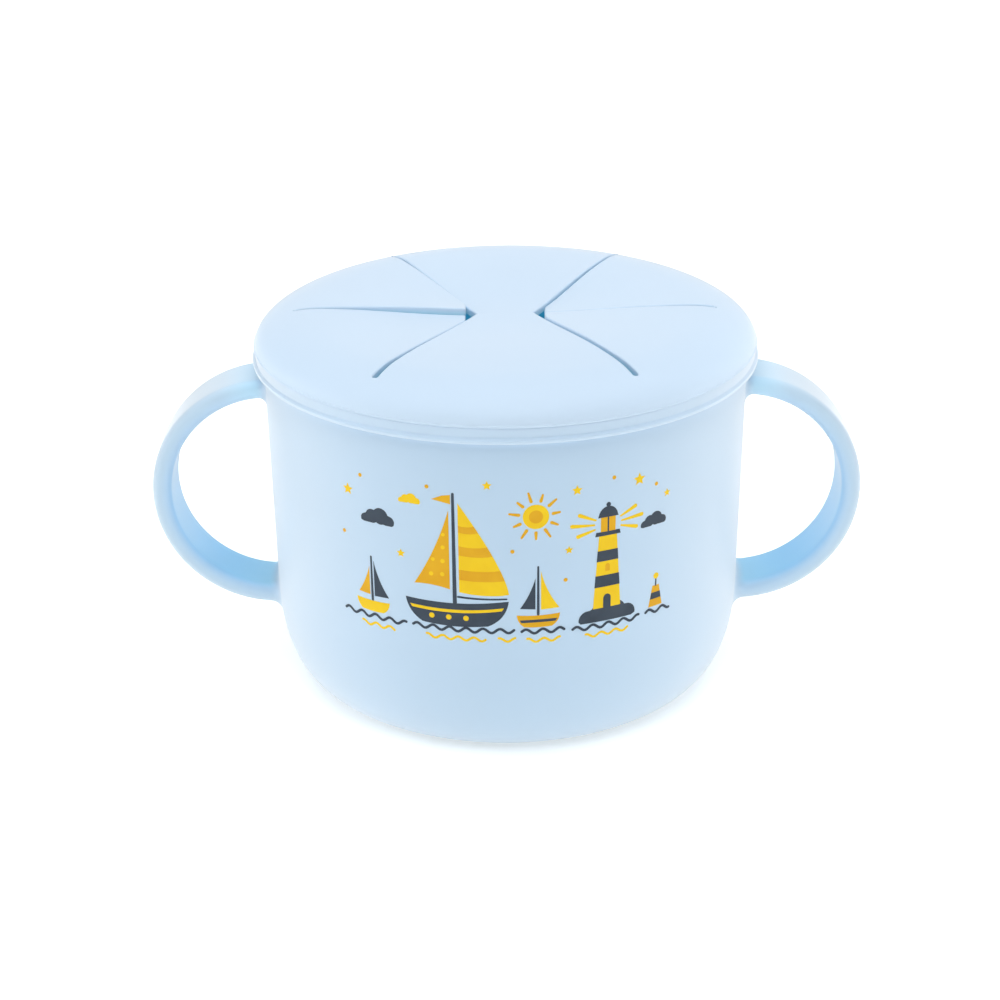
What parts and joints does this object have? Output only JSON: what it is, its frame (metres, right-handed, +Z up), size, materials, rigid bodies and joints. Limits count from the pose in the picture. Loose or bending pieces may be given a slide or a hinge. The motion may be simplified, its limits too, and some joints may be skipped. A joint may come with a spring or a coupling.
{
  "type": "toddler snack container",
  "caption": "Round two-handled snack cup with a rounded bottom and a pull-off lid whose soft slit top lets a small hand in.",
  "frame": {"origin": "centre of the base, on the surface the cup stands on", "axes": "+Z up through the cup's axis, +X to the right through both handles, -Y to the front where the print is"},
  "size_m": [0.1372, 0.096, 0.0735],
  "materials": {
    "cup_plastic": "satin moulded polypropylene, pale blue",
    "lid_plastic": "satin moulded polypropylene, pale blue",
    "soft_top": "soft matte thermoplastic elastomer, very pale blue"
  },
  "bodies": {
    "cup": {"cup_shell": "cup_plastic", "handle_left": "cup_plastic", "handle_right": "cup_plastic"},
    "lid": {"lid_ring": "lid_plastic", "lid_membrane": "soft_top"},
    "flap_front": {"flap_front": "soft_top"},
    "flap_back": {"flap_back": "soft_top"},
    "flap_left_front": {"flap_left_front": "soft_top"},
    "flap_left_back": {"flap_left_back": "soft_top"},
    "flap_right_front": {"flap_right_front": "soft_top"},
    "flap_right_back": {"flap_right_back": "soft_top"}
  },
  "joints": [
    {"name": "lid_lift", "type": "slide", "parent": "cup", "child": "lid", "axis": [0, 0, 1], "range_m": [0, 0.06]},
    {"name": "flap_front_bend", "type": "hinge", "parent": "lid", "child": "flap_front", "pos_m": [0, -0.0352, 0.0722], "axis": [-1, 0, 0], "range_deg": [-30, 60], "stiffness_Nm_per_rad": 0.03},
    {"name": "flap_back_bend", "type": "hinge", "parent": "lid", "child": "flap_back", "pos_m": [0, 0.0352, 0.0722], "axis": [1, 0, 0], "range_deg": [-30, 60], "stiffness_Nm_per_rad": 0.03},
    {"name": "flap_left_front_bend", "type": "hinge", "parent": "lid", "child": "flap_left_front", "pos_m": [-0.03165, -0.0176, 0.0722], "axis": [-0.437, 0.8995, 0], "range_deg": [-30, 60], "stiffness_Nm_per_rad": 0.02},
    {"name": "flap_left_back_bend", "type": "hinge", "parent": "lid", "child": "flap_left_back", "pos_m": [-0.03165, 0.0176, 0.0722], "axis": [0.437, 0.8995, 0], "range_deg": [-30, 60], "stiffness_Nm_per_rad": 0.02},
    {"name": "flap_right_front_bend", "type": "hinge", "parent": "lid", "child": "flap_right_front", "pos_m": [0.03165, -0.0176, 0.0722], "axis": [-0.437, -0.8995, 0], "range_deg": [-30, 60], "stiffness_Nm_per_rad": 0.02},
    {"name": "flap_right_back_bend", "type": "hinge", "parent": "lid", "child": "flap_right_back", "pos_m": [0.03165, 0.0176, 0.0722], "axis": [0.437, -0.8995, 0], "range_deg": [-30, 60], "stiffness_Nm_per_rad": 0.02}
  ]
}
